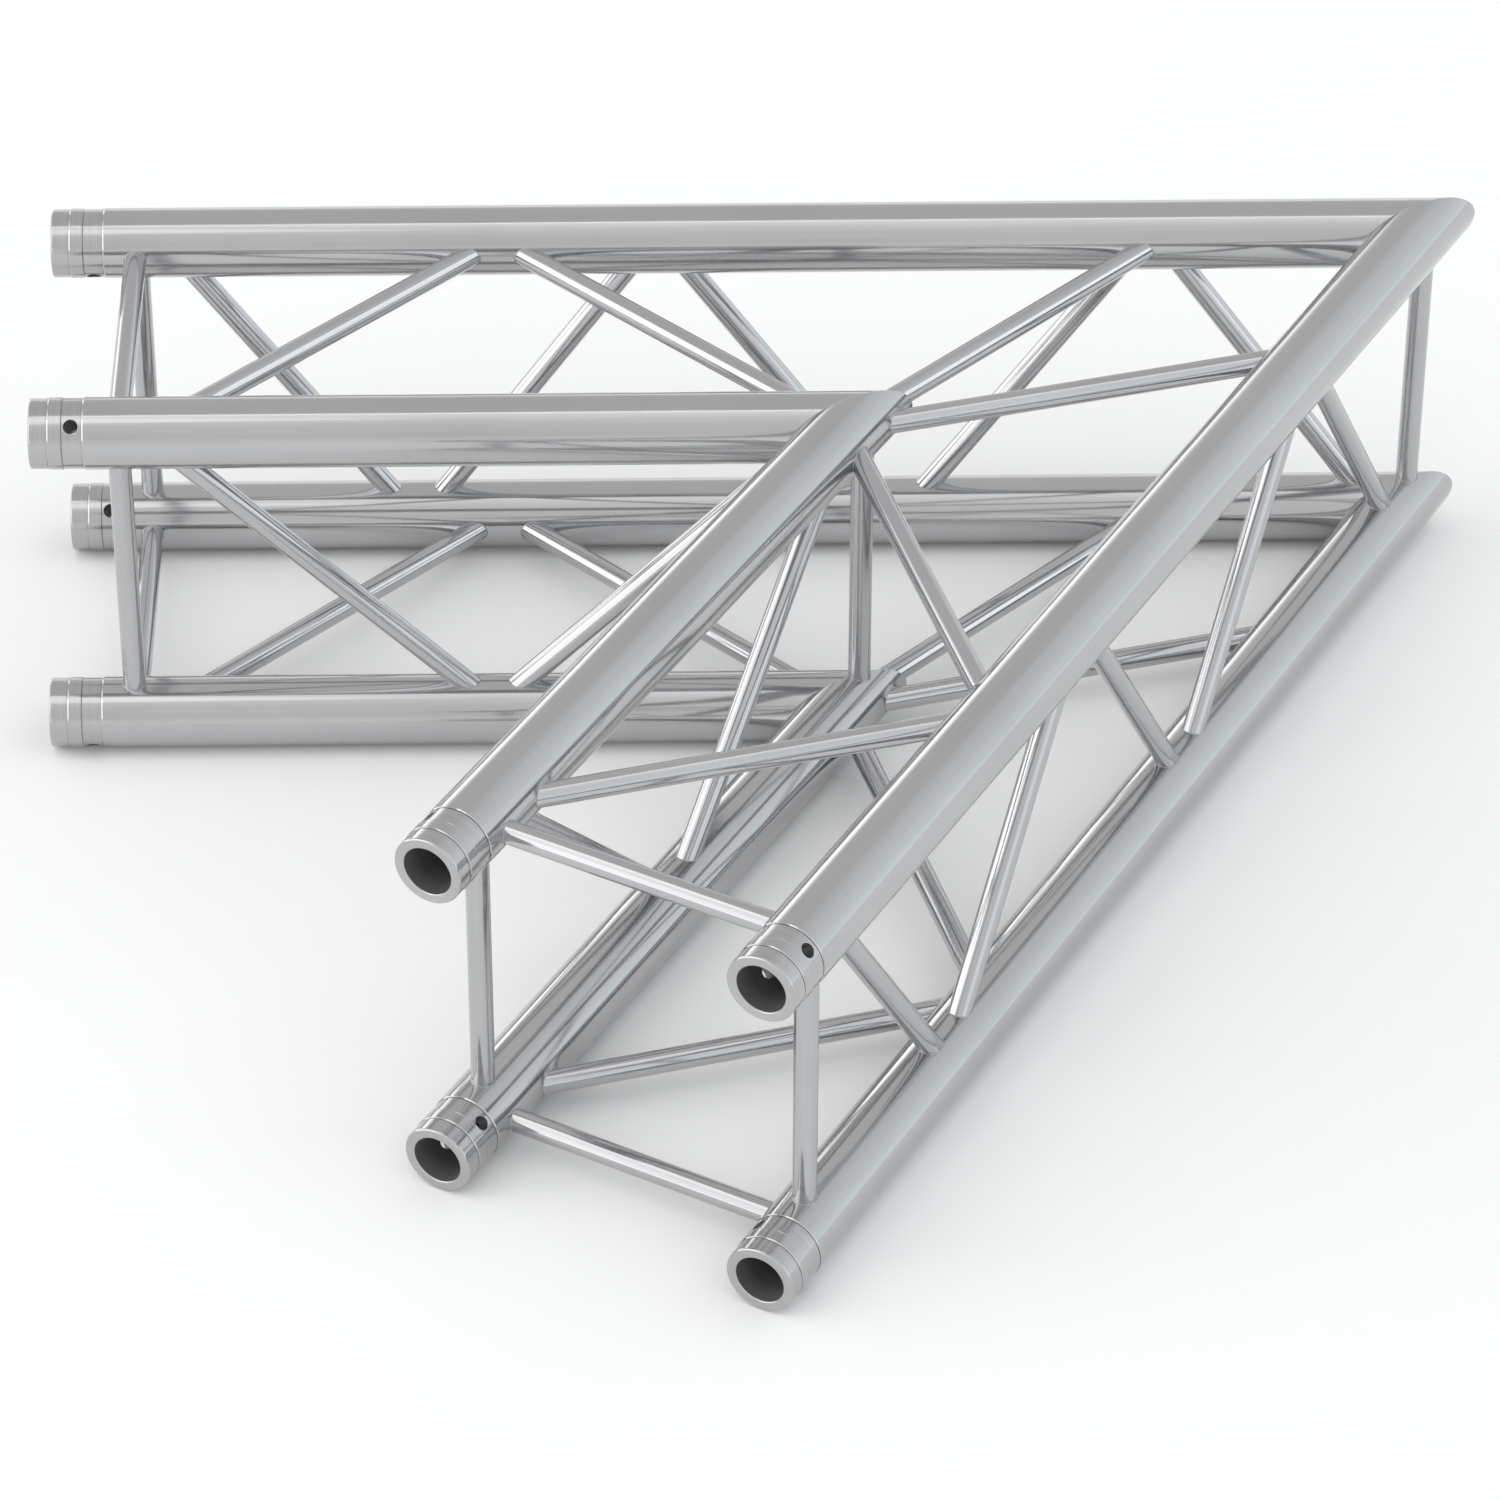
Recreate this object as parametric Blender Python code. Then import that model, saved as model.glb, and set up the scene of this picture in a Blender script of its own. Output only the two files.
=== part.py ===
"""Corner section of square aluminium lighting truss, welded from round tube.

Two straight arms meet in a mitred corner.  Each arm has four chord tubes on the corners of a
square.  The chords are tied together by round brace tubes on all four faces, and each one ends
in a turned receiver with a conical socket and a cross hole for a locking pin.

Frame: +Z up, origin under the middle of the section at the level of its lowest point.  The
mirror plane is X = 0, the outer corner is at +Y, and both arms run towards -Y.
All sizes are in metres.
"""
import math

import bmesh
import bpy
from mathutils import Matrix, Vector

# Overall sizes
CORNER_ANGLE = math.radians(60)        # between the two arms, seen from above
CHORD_SPACING = 0.240                  # between chord axes, across and in height
OUTER_CHORD_LENGTH = 0.981             # end face to the mitre, along the outer chord's axis

# Tube stock
CHORD_DIAMETER = 0.050
CHORD_WALL = 0.002
BRACE_DIAMETER = 0.016
BRACE_WALL = 0.002

# Receivers, measured from the end face along the chord's axis
RECEIVER_LENGTH = 0.037                # end face to the chord tube
RECEIVER_RELIEF = 0.0006               # the turned body stands this much inside the tube's surface
COLLAR_START = 0.013
COLLAR_END = 0.023
COLLAR_RELIEF = 0.0001                 # the same for the raised collar
COLLAR_CHAMFER = 0.0004
SPIGOT_LENGTH = 0.028                  # the part that sits inside the chord tube
END_CHAMFER = 0.0008
SOCKET_MOUTH_DIAMETER = 0.0345
SOCKET_DEPTH = 0.053
SOCKET_FLOOR_DIAMETER = 0.028
REAR_BORE_DIAMETER = 0.022
PIN_HOLE_DIAMETER = 0.010
PIN_HOLE_OFFSET = 0.0295

# Brace layout, measured along the chord axes
END_BRACE_OFFSET = 0.060               # end face to the square end braces
FLAT_FIRST_OFFSET = 0.080              # end face to the first diagonal, top and bottom faces
FLAT_LAST_SETBACK = 0.0078             # last diagonal to the inner mitre
FLAT_NODE_GAP = -0.0025                # between diagonals on a chord; negative when they cross
OUTER_FIRST_OFFSET = 0.0825
OUTER_LAST_SETBACK = 0.0189
OUTER_NODE_GAP = 0.009
INNER_FIRST_OFFSET = 0.080
INNER_LAST_SETBACK = 0.0156
INNER_NODE_GAP = -0.0067
CORNER_BRACE_ANGLE = math.radians(45)  # corner brace to its arm
CORNER_BRACE_CLEARANCE = 0.0056        # between the two corner braces where they leave the mitre
OUTER_POST_OFFSET = 0.006              # corner posts, from the mitre outwards
INNER_POST_OFFSET = 0.0095
FLAT_DIAGONALS = 2
OUTER_DIAGONALS = 5
INNER_DIAGONALS = 2

# Clearance between neighbouring pieces
GAP = 0.0003

# Facets
CHORD_SIDES = 24
BRACE_SIDES = 12
RECEIVER_SIDES = 24
PIN_HOLE_SIDES = 16
SHARP_ANGLE = math.radians(35)

# Sizes that follow from the ones above
HALF_ANGLE = CORNER_ANGLE / 2
CHORD_RADIUS = CHORD_DIAMETER / 2
BRACE_RADIUS = BRACE_DIAMETER / 2
RECEIVER_RADIUS = CHORD_RADIUS - RECEIVER_RELIEF
INNER_CHORD_LENGTH = OUTER_CHORD_LENGTH - CHORD_SPACING / math.tan(HALF_ANGLE)
BACK_Y = CHORD_RADIUS / math.sin(HALF_ANGLE)
FRONT_Y = -(CHORD_SPACING / math.sin(HALF_ANGLE)
            + INNER_CHORD_LENGTH * math.cos(HALF_ANGLE)
            + (RECEIVER_RADIUS - END_CHAMFER) * math.sin(HALF_ANGLE))
OUTER_CORNER_Y = -(BACK_Y + FRONT_Y) / 2
INNER_CORNER_Y = OUTER_CORNER_Y - CHORD_SPACING / math.sin(HALF_ANGLE)

SIDES = {"left": -1, "right": 1}
CORNER_YS = {"outer": OUTER_CORNER_Y, "inner": INNER_CORNER_Y}
LEVELS = {"top": CHORD_RADIUS + CHORD_SPACING, "bottom": CHORD_RADIUS}
LENGTHS = {"outer": OUTER_CHORD_LENGTH, "inner": INNER_CHORD_LENGTH}


# ---------------------------------------------------------------- places

def arm_direction(side):
    """Unit vector from the mitre to the end of an arm."""
    return Vector((SIDES[side] * math.sin(HALF_ANGLE), -math.cos(HALF_ANGLE), 0))


def mitre_corner(ring, level):
    """Where the axes of two mitred chords meet."""
    return Vector((0, CORNER_YS[ring], LEVELS[level]))


def chord_point(side, ring, level, offset):
    """Point on a chord's axis, at a distance from its end face."""
    return mitre_corner(ring, level) + arm_direction(side) * (LENGTHS[ring] - offset)


def frame_on(origin, direction):
    """Matrix with its origin on a point and its local Z along a direction."""
    rotation = direction.to_track_quat("Z", "Y").to_matrix().to_4x4()
    return Matrix.Translation(origin) @ rotation


# ---------------------------------------------------------------- materials

def aluminium(name, colour, roughness):
    """Bare aluminium."""
    material = bpy.data.materials.new(name)
    material.use_nodes = True
    shader = material.node_tree.nodes["Principled BSDF"]
    shader.inputs["Base Color"].default_value = (*colour, 1)
    shader.inputs["Metallic"].default_value = 1
    shader.inputs["Roughness"].default_value = roughness
    return material


# ---------------------------------------------------------------- mesh helpers

def circle(radius, sides, height=0.0):
    """Points on a circle in a plane across local Z."""
    turns = [2 * math.pi * step / sides for step in range(sides)]
    return [Vector((radius * math.cos(turn), radius * math.sin(turn), height)) for turn in turns]


def solid_from_rings(name, rings):
    """Closed mesh whose wall runs from each ring of points to the next and back to the first."""
    shape = bmesh.new()
    loops = [[shape.verts.new(point) for point in ring] for ring in rings]
    for here, there in zip(loops, loops[1:] + loops[:1]):
        for step in range(len(here)):
            following = (step + 1) % len(here)
            shape.faces.new((here[step], here[following], there[following], there[step]))
    bmesh.ops.recalc_face_normals(shape, faces=shape.faces)
    mesh = bpy.data.meshes.new(name)
    shape.to_mesh(mesh)
    shape.free()
    mesh.shade_smooth()
    mesh.set_sharp_from_angle(angle=SHARP_ANGLE)
    return mesh


def add_object(name, mesh, matrix, material, parent):
    """Named object in its place, under its arm's empty."""
    mesh.materials.append(material)
    piece = bpy.data.objects.new(name, mesh)
    bpy.context.scene.collection.objects.link(piece)
    piece.parent = parent
    piece.matrix_world = matrix
    return piece


def add_empty(name):
    """Empty that groups the pieces of an arm or of the corner."""
    empty = bpy.data.objects.new(name, None)
    bpy.context.scene.collection.objects.link(empty)
    return empty


# ---------------------------------------------------------------- chord tubes

def mitre_distance(start, direction, side):
    """Distance along a line from a point to the arm's side of the mitre cut."""
    return (SIDES[side] * GAP / 2 - start.x) / direction.x


def chord_mesh(side, ring, level, matrix):
    """Tube from the receiver's shoulder to the mitre, in the frame of its end face."""
    inward = matrix.to_3x3() @ Vector((0, 0, 1))
    rings = []
    for radius in (CHORD_RADIUS, CHORD_RADIUS - CHORD_WALL):
        square_end = circle(radius, CHORD_SIDES, RECEIVER_LENGTH + GAP)
        mitred_end = []
        for point in square_end:
            reach = mitre_distance(matrix @ point, inward, side)
            mitred_end.append(point + Vector((0, 0, reach)))
        rings.append((square_end, mitred_end))
    (outer_square, outer_mitre), (bore_square, bore_mitre) = rings
    name = f"{side}_{ring}_{level}_chord"
    return solid_from_rings(name, [outer_square, outer_mitre, bore_mitre, bore_square])


# ---------------------------------------------------------------- receivers

def receiver_profile():
    """Turned outline as (radius, height) pairs, from the socket's mouth round to its floor."""
    mouth = SOCKET_MOUTH_DIAMETER / 2
    collar = CHORD_RADIUS - COLLAR_RELIEF
    spigot = CHORD_RADIUS - CHORD_WALL - GAP
    rear = RECEIVER_LENGTH + SPIGOT_LENGTH
    return [
        (mouth + END_CHAMFER, 0),
        (RECEIVER_RADIUS - END_CHAMFER, 0),
        (RECEIVER_RADIUS, END_CHAMFER),
        (RECEIVER_RADIUS, COLLAR_START),
        (collar, COLLAR_START + COLLAR_CHAMFER),
        (collar, COLLAR_END - COLLAR_CHAMFER),
        (RECEIVER_RADIUS, COLLAR_END),
        (RECEIVER_RADIUS, RECEIVER_LENGTH),
        (spigot, RECEIVER_LENGTH),
        (spigot, rear),
        (REAR_BORE_DIAMETER / 2, rear),
        (REAR_BORE_DIAMETER / 2, SOCKET_DEPTH),
        (SOCKET_FLOOR_DIAMETER / 2, SOCKET_DEPTH),
        (mouth, END_CHAMFER),
    ]


def receiver_mesh(name):
    """Receiver body with its socket, before the pin hole is cut."""
    rings = [circle(radius, RECEIVER_SIDES, height) for radius, height in receiver_profile()]
    return solid_from_rings(name, rings)


def add_pin_cutter(name, centre, direction, parent):
    """Cylinder that cuts the pin hole through both walls of a receiver."""
    shape = bmesh.new()
    bmesh.ops.create_cone(shape, cap_ends=True, segments=PIN_HOLE_SIDES,
                          radius1=PIN_HOLE_DIAMETER / 2, radius2=PIN_HOLE_DIAMETER / 2,
                          depth=2 * CHORD_DIAMETER)
    mesh = bpy.data.meshes.new(name)
    shape.to_mesh(mesh)
    shape.free()
    cutter = bpy.data.objects.new(name, mesh)
    bpy.context.scene.collection.objects.link(cutter)
    cutter.parent = parent
    cutter.matrix_world = frame_on(centre, direction)
    cutter.hide_render = True
    cutter.display_type = "WIRE"
    return cutter


def pin_direction(side, ring, level):
    """Unit vector through a chord and the middle of the arm's square section."""
    towards_inner = Vector((0, 0, 1)).cross(arm_direction(side)) * SIDES[side]
    across = -towards_inner if ring == "outer" else towards_inner
    up = 1 if level == "top" else -1
    return (across + Vector((0, 0, up))).normalized()


def add_receiver(side, ring, level, matrix, material, parent):
    """Turned end fitting of one chord, with its pin hole."""
    name = f"{side}_{ring}_{level}_receiver"
    receiver = add_object(name, receiver_mesh(name), matrix, material, parent)
    centre = chord_point(side, ring, level, PIN_HOLE_OFFSET)
    cutter = add_pin_cutter(name + "_pin_cutter", centre, pin_direction(side, ring, level), parent)
    hole = receiver.modifiers.new("pin_hole", "BOOLEAN")
    hole.operation = "DIFFERENCE"
    hole.solver = "EXACT"
    hole.object = cutter


# ---------------------------------------------------------------- braces

def leave_tube(start, direction, corner, axis):
    """Distance along a line to where it leaves a chord's surface, with the clearance added."""
    across = direction - axis * direction.dot(axis)
    offset = start - corner
    offset = offset - axis * offset.dot(axis)
    a = across.length_squared
    b = across.dot(offset)
    c = offset.length_squared - (CHORD_RADIUS + GAP) ** 2
    return (-b + math.sqrt(b * b - a * c)) / a


def side_of(point):
    """Arm whose side of the mirror plane a point is on."""
    return "left" if point.x < 0 else "right"


def leave_elbow(start, direction, corner, side):
    """Distance along a line to where it leaves the mitred chords that meet at a corner."""
    reach = leave_tube(start, direction, corner, arm_direction(side))
    way_out = side_of(start + direction * reach)
    if way_out == side:
        return reach
    return leave_tube(start, direction, corner, arm_direction(way_out))


def brace_mesh(name, matrix, length, start_corner, end_corner):
    """Tube coped to the chords at both ends, in the frame of its start."""
    axis = matrix.to_3x3() @ Vector((0, 0, 1))
    rings = []
    for radius in (BRACE_RADIUS, BRACE_RADIUS - BRACE_WALL):
        start_loop = []
        end_loop = []
        for point in circle(radius, BRACE_SIDES):
            near = matrix @ point
            far = near + axis * length
            side = side_of(near.lerp(far, 0.5))
            first = leave_elbow(near, axis, start_corner, side)
            last = length - leave_elbow(far, -axis, end_corner, side)
            start_loop.append(point + Vector((0, 0, first)))
            end_loop.append(point + Vector((0, 0, last)))
        rings.append((start_loop, end_loop))
    (outer_start, outer_end), (bore_start, bore_end) = rings
    return solid_from_rings(name, [outer_start, outer_end, bore_end, bore_start])


def add_brace(name, start, end, start_corner, end_corner, material, parent):
    """Brace tube between two points on chord axes."""
    matrix = frame_on(start, (end - start).normalized())
    mesh = brace_mesh(name, matrix, (end - start).length, start_corner, end_corner)
    add_object(name, mesh, matrix, material, parent)


def add_arm_brace(name, side, start, end, material, parent):
    """Brace between two chords of one arm; each end is (ring, level, offset from the end face)."""
    start_ring, start_level, start_offset = start
    end_ring, end_level, end_offset = end
    add_brace(
        f"{side}_{name}",
        chord_point(side, start_ring, start_level, start_offset),
        chord_point(side, end_ring, end_level, end_offset),
        mitre_corner(start_ring, start_level),
        mitre_corner(end_ring, end_level),
        material,
        parent,
    )


def zigzag_offsets(first, last, count, node_gap):
    """Start and end offsets of the diagonals of one face."""
    run = (last - first - node_gap * (count - 1)) / count
    starts = [first + step * (run + node_gap) for step in range(count)]
    return [(start, start + run) for start in starts]


def add_flat_face(side, level, material, parent):
    """Crossbar, diagonals and corner brace of an arm's top or bottom face."""
    crossbar = (("outer", level, END_BRACE_OFFSET), ("inner", level, END_BRACE_OFFSET))
    add_arm_brace(f"{level}_crossbar", side, *crossbar, material, parent)
    last = INNER_CHORD_LENGTH - FLAT_LAST_SETBACK
    offsets = zigzag_offsets(FLAT_FIRST_OFFSET, last, FLAT_DIAGONALS, FLAT_NODE_GAP)
    rings = ("inner", "outer")
    for number, (start, end) in enumerate(offsets):
        ends = ((rings[number % 2], level, start), (rings[(number + 1) % 2], level, end))
        add_arm_brace(f"{level}_brace_{number + 1}", side, *ends, material, parent)
    start = INNER_CHORD_LENGTH - corner_brace_setback()
    end = start + CHORD_SPACING / math.tan(CORNER_BRACE_ANGLE)
    ends = (("inner", level, start), ("outer", level, end))
    add_arm_brace(f"{level}_corner_brace", side, *ends, material, parent)


def corner_brace_setback():
    """Distance of a corner brace from the inner mitre that keeps it clear of its mirror image."""
    reach = CHORD_RADIUS / math.sin(CORNER_BRACE_ANGLE)
    wanted = (BRACE_DIAMETER + CORNER_BRACE_CLEARANCE) / 2
    drift = reach * math.sin(CORNER_BRACE_ANGLE - HALF_ANGLE)
    return (wanted - drift) / math.sin(HALF_ANGLE)


def add_side_face(side, ring, first, setback, count, node_gap, material, parent):
    """End post and diagonals of an arm's outer or inner face."""
    post = ((ring, "top", END_BRACE_OFFSET), (ring, "bottom", END_BRACE_OFFSET))
    add_arm_brace(f"{ring}_end_post", side, *post, material, parent)
    offsets = zigzag_offsets(first, LENGTHS[ring] - setback, count, node_gap)
    levels = ("top", "bottom")
    for number, (start, end) in enumerate(offsets):
        ends = ((ring, levels[number % 2], start), (ring, levels[(number + 1) % 2], end))
        add_arm_brace(f"{ring}_brace_{number + 1}", side, *ends, material, parent)


def add_corner_post(ring, offset, material, parent):
    """Upright between the top and bottom mitres."""
    top = mitre_corner(ring, "top")
    bottom = mitre_corner(ring, "bottom")
    shift = Vector((0, offset, 0))
    add_brace(f"{ring}_corner_post", top + shift, bottom + shift, top, bottom, material, parent)


# ---------------------------------------------------------------- assembly

def add_arm(side, chord_metal, brace_metal, receiver_metal):
    """Chords, receivers and braces of one arm."""
    parent = add_empty(f"{side}_arm")
    for ring in CORNER_YS:
        for level in LEVELS:
            matrix = frame_on(chord_point(side, ring, level, 0), -arm_direction(side))
            mesh = chord_mesh(side, ring, level, matrix)
            add_object(f"{side}_{ring}_{level}_chord", mesh, matrix, chord_metal, parent)
            add_receiver(side, ring, level, matrix, receiver_metal, parent)
    for level in LEVELS:
        add_flat_face(side, level, brace_metal, parent)
    add_side_face(side, "outer", OUTER_FIRST_OFFSET, OUTER_LAST_SETBACK, OUTER_DIAGONALS,
                  OUTER_NODE_GAP, brace_metal, parent)
    add_side_face(side, "inner", INNER_FIRST_OFFSET, INNER_LAST_SETBACK, INNER_DIAGONALS,
                  INNER_NODE_GAP, brace_metal, parent)


def main():
    for leftover in list(bpy.data.objects):
        bpy.data.objects.remove(leftover)
    chord_metal = aluminium("chord_aluminium", (0.56, 0.57, 0.58), 0.32)
    brace_metal = aluminium("brace_aluminium", (0.53, 0.54, 0.55), 0.28)
    receiver_metal = aluminium("receiver_aluminium", (0.60, 0.60, 0.61), 0.25)
    for side in SIDES:
        add_arm(side, chord_metal, brace_metal, receiver_metal)
    corner = add_empty("corner")
    add_corner_post("outer", OUTER_POST_OFFSET, brace_metal, corner)
    add_corner_post("inner", INNER_POST_OFFSET, brace_metal, corner)


main()
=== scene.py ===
import math

import bmesh
import bpy
import numpy as np
from mathutils import Matrix, Quaternion, Vector


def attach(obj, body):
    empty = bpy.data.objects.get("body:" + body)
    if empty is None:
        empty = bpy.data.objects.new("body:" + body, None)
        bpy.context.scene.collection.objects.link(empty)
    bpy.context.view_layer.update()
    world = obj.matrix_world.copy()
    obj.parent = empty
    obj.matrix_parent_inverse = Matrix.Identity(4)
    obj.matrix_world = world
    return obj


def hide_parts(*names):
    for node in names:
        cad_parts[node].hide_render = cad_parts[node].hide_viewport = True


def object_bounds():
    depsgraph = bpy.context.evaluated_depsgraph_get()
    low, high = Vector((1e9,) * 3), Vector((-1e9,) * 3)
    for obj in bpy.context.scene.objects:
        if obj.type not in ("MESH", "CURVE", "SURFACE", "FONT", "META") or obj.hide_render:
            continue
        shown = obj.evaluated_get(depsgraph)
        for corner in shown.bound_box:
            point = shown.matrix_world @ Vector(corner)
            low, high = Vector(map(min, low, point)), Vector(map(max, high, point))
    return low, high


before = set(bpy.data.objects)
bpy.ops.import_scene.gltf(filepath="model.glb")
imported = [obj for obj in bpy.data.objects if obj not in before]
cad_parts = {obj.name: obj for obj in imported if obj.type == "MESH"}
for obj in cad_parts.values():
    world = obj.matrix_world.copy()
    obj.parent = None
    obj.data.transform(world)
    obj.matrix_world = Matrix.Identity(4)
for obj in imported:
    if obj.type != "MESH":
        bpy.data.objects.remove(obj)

cad_low, cad_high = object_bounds()

SIDES = {"left": -1, "right": 1}
RINGS = ("outer", "inner")
LEVELS = ("top", "bottom")
MM = 0.001

OWN_AXES = "own_axes"           # each point's place on its own part, local Z along the part

# Reading the CAD
LONG_EDGE = 0.6                 # edges longer than this share of the longest run along a tube
SAME_WAY = 1 - 1e-8             # cosine above which two edges run the same way

# Tube surfaces
SHARP_DEGREES = 20              # edges bent by more than this are shaded as sharp
CHORD_SIDES = 128
CHORD_WALL = 2.0 * MM
CHORD_EDGE = 0.5 * MM           # height of the chamfer at the shoulder
SHOULDER_PLAY = 0.02 * MM       # between the receiver's shoulder and the chord
MITRE_EDGE = 0.45 * MM          # broken edge along the mitre
MITRE_SINK = 0.22 * MM          # depth of the broken edge
BRACE_SIDES = 64
HOLD = 1.2 * MM                 # short band beside an edge that keeps the long wall's shading true
SINK = 0.35 * MM                # how far a brace's end sits inside the chord's surface
TIP_DEPTH = 1.0 * MM            # how far the middle of a brace's end cap lies past its rim

# Receivers, as radii and distances from the end face
RECEIVER_SIDES = 144
RECEIVER_LENGTH = 37.0 * MM
BODY_RELIEF = 0.6 * MM          # how far the turned body lies below the chord's surface
COLLAR_RELIEF = 0.1 * MM
COLLAR_START, COLLAR_END = 13.0 * MM, 23.0 * MM
COLLAR_STEP = 0.45 * MM         # length of the step down behind the collar
SLOPE = 0.9 * MM                # length of the long chamfers that rise to the collar and chord
GAP_WIDTH, GAP_DEPTH = 0.55 * MM, 1.1 * MM
LINE_DEPTH = 0.25 * MM          # shallow line behind the collar
BAND = 0.6 * MM                 # short bands and bevels beside the receiver's edges
SHORT_BAND = 0.5 * MM
END_ROUND = 1.4 * MM
MOUTH_RADIUS = 17.25 * MM
MOUTH_ROUND = 1.0 * MM
LEAD_START, LEAD_END = 1.6 * MM, 2.2 * MM
SOCKET_DEPTH = 53.0 * MM
SOCKET_FLOOR_RADIUS = 14.0 * MM
REAR_BORE_RADIUS = 11.0 * MM
SPIGOT_RADIUS = 22.7 * MM
SPIGOT_END = 65.0 * MM

# Pin holes
PIN_RADIUS = 5.0 * MM
PIN_OFFSET = 29.5 * MM
PIN_EDGE = 0.3 * MM             # broken edge of the hole
PIN_EDGE_MIDDLE = 0.35          # share of the edge at which it bends
PIN_FLARE = 0.8 * MM            # how far the cutter flares out above the surface
PIN_SIDES = 64
CUTTER_REACH = 3 * MM
CLEAN_DISTANCE = 0.002 * MM     # points closer than this are joined after the cut
ON_RADIUS = 0.025 * MM          # how near a face's points are to a round wall's radius
UPRIGHT = 0.05                  # largest lean of a round wall's face

# Welds
WELD_LEG = 0.35 * MM
WELD_CROWN = 0.02 * MM
WELD_SINK = 0.5 * MM            # depth of the hidden foot of a weld in the chord and the brace
WELD_FOOT = 0.7                 # share of the leg that the hidden foot keeps
WELD_SHARP_DEGREES = 50
WELD_SIDES = 96
WELD_STEPS = 7


# ------------------------------------------------------------------ reading the CAD

def corners_of(node):
    """The node's vertices as one array, each position once."""
    points = np.array([v.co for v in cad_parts[node].data.vertices], float)
    return np.unique(points, axis=0)


def straight_tube(node):
    """Point on the axis, axis direction and radius of a CAD tube, from its vertices and edges."""
    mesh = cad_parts[node].data
    points = np.array([v.co for v in mesh.vertices], float)
    pairs = np.array([e.vertices[:] for e in mesh.edges])
    spans = points[pairs[:, 1]] - points[pairs[:, 0]]
    lengths = np.linalg.norm(spans, axis=1)
    spans = spans[lengths > LONG_EDGE * lengths.max()]
    ways = spans / np.linalg.norm(spans, axis=1)[:, None]
    ways *= np.sign(ways @ ways[0])[:, None]
    parallel = (ways @ ways.T) > SAME_WAY
    axis = ways[parallel[parallel.sum(axis=1).argmax()]].mean(axis=0)
    axis /= np.linalg.norm(axis)
    unique = corners_of(node)
    middle = unique.mean(axis=0)
    across = unique - middle
    across = across - np.outer(across @ axis, axis)
    return middle, axis, float(np.linalg.norm(across, axis=1).max())


class Chord:
    """One chord tube: its axis runs from the end face inwards to the mitre."""

    def __init__(self, side, ring, level):
        self.side = side
        self.name = f"{side}_{ring}_{level}"
        middle, axis, self.radius = straight_tube(self.name + "_chord")
        receiver = corners_of(self.name + "_receiver")
        if (receiver.mean(axis=0) - middle) @ axis > 0:
            axis = -axis
        self.axis = axis
        self.end = middle + axis * ((receiver - middle) @ axis).min()
        self.sign = SIDES[side]

    def point(self, offset):
        return self.end + self.axis * offset


chords = [Chord(side, ring, level) for side in SIDES for ring in RINGS for level in LEVELS]


def frame_on(origin, direction):
    """Matrix with its origin on a point and its local Z along a direction."""
    turn = Vector(direction).to_track_quat("Z", "Y").to_matrix().to_4x4()
    return Matrix.Translation(Vector(origin)) @ turn


# ------------------------------------------------------------------ meshes

def circle(radius, sides, height=0.0):
    """Points round local Z as an array."""
    turns = np.arange(sides) * (2 * math.pi / sides)
    flat = np.stack([radius * np.cos(turns), radius * np.sin(turns)], axis=1)
    return np.column_stack([flat, np.full(sides, height) if np.isscalar(height) else height])


def skin(rings, closed=False, caps=None):
    """bmesh whose wall runs along the rings; caps gives the middle point of each end."""
    shape = bmesh.new()
    loops = [[shape.verts.new(Vector(p)) for p in ring] for ring in rings]
    count = len(loops[0])
    following = loops[1:] + loops[:1] if closed else loops[1:]
    for here, there in zip(loops, following):
        for k in range(count):
            n = (k + 1) % count
            shape.faces.new((here[k], here[n], there[n], there[k]))
    if caps is not None:
        for loop, middle in ((loops[0], caps[0]), (loops[-1], caps[1])):
            tip = shape.verts.new(Vector(middle))
            for k in range(count):
                shape.faces.new((loop[k], loop[(k + 1) % count], tip))
    bmesh.ops.recalc_face_normals(shape, faces=shape.faces)
    return shape


def mesh_from(shape, name, sharp_degrees=SHARP_DEGREES):
    """Smooth-shaded mesh made from a bmesh, which is freed."""
    mesh = bpy.data.meshes.new(name)
    shape.to_mesh(mesh)
    shape.free()
    mesh.shade_smooth()
    mesh.set_sharp_from_angle(angle=math.radians(sharp_degrees))
    return mesh


def place(name, mesh, matrix, finishes, slot, *nodes):
    """Puts a piece in its place, on the body, standing for its CAD nodes."""
    along = mesh.attributes.new(OWN_AXES, "FLOAT_VECTOR", "POINT")
    along.data.foreach_set("vector", np.array([v.co for v in mesh.vertices]).ravel())
    mesh.transform(matrix)
    for finish in finishes:
        mesh.materials.append(finish)
    piece = bpy.data.objects.new(name, mesh)
    bpy.context.scene.collection.objects.link(piece)
    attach(piece, "root")
    if nodes:
        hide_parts(*nodes)


# ------------------------------------------------------------------ chord tubes

def mitre_height(points, matrix, inset=0.0):
    """Local heights at which lines along local Z through the points reach the plane X = 0."""
    world = np.array(matrix)
    along = world[:3, 2]
    start_x = points[:, :2] @ world[0, :2] + world[0, 3]
    return -start_x / along[0] - inset


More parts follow.
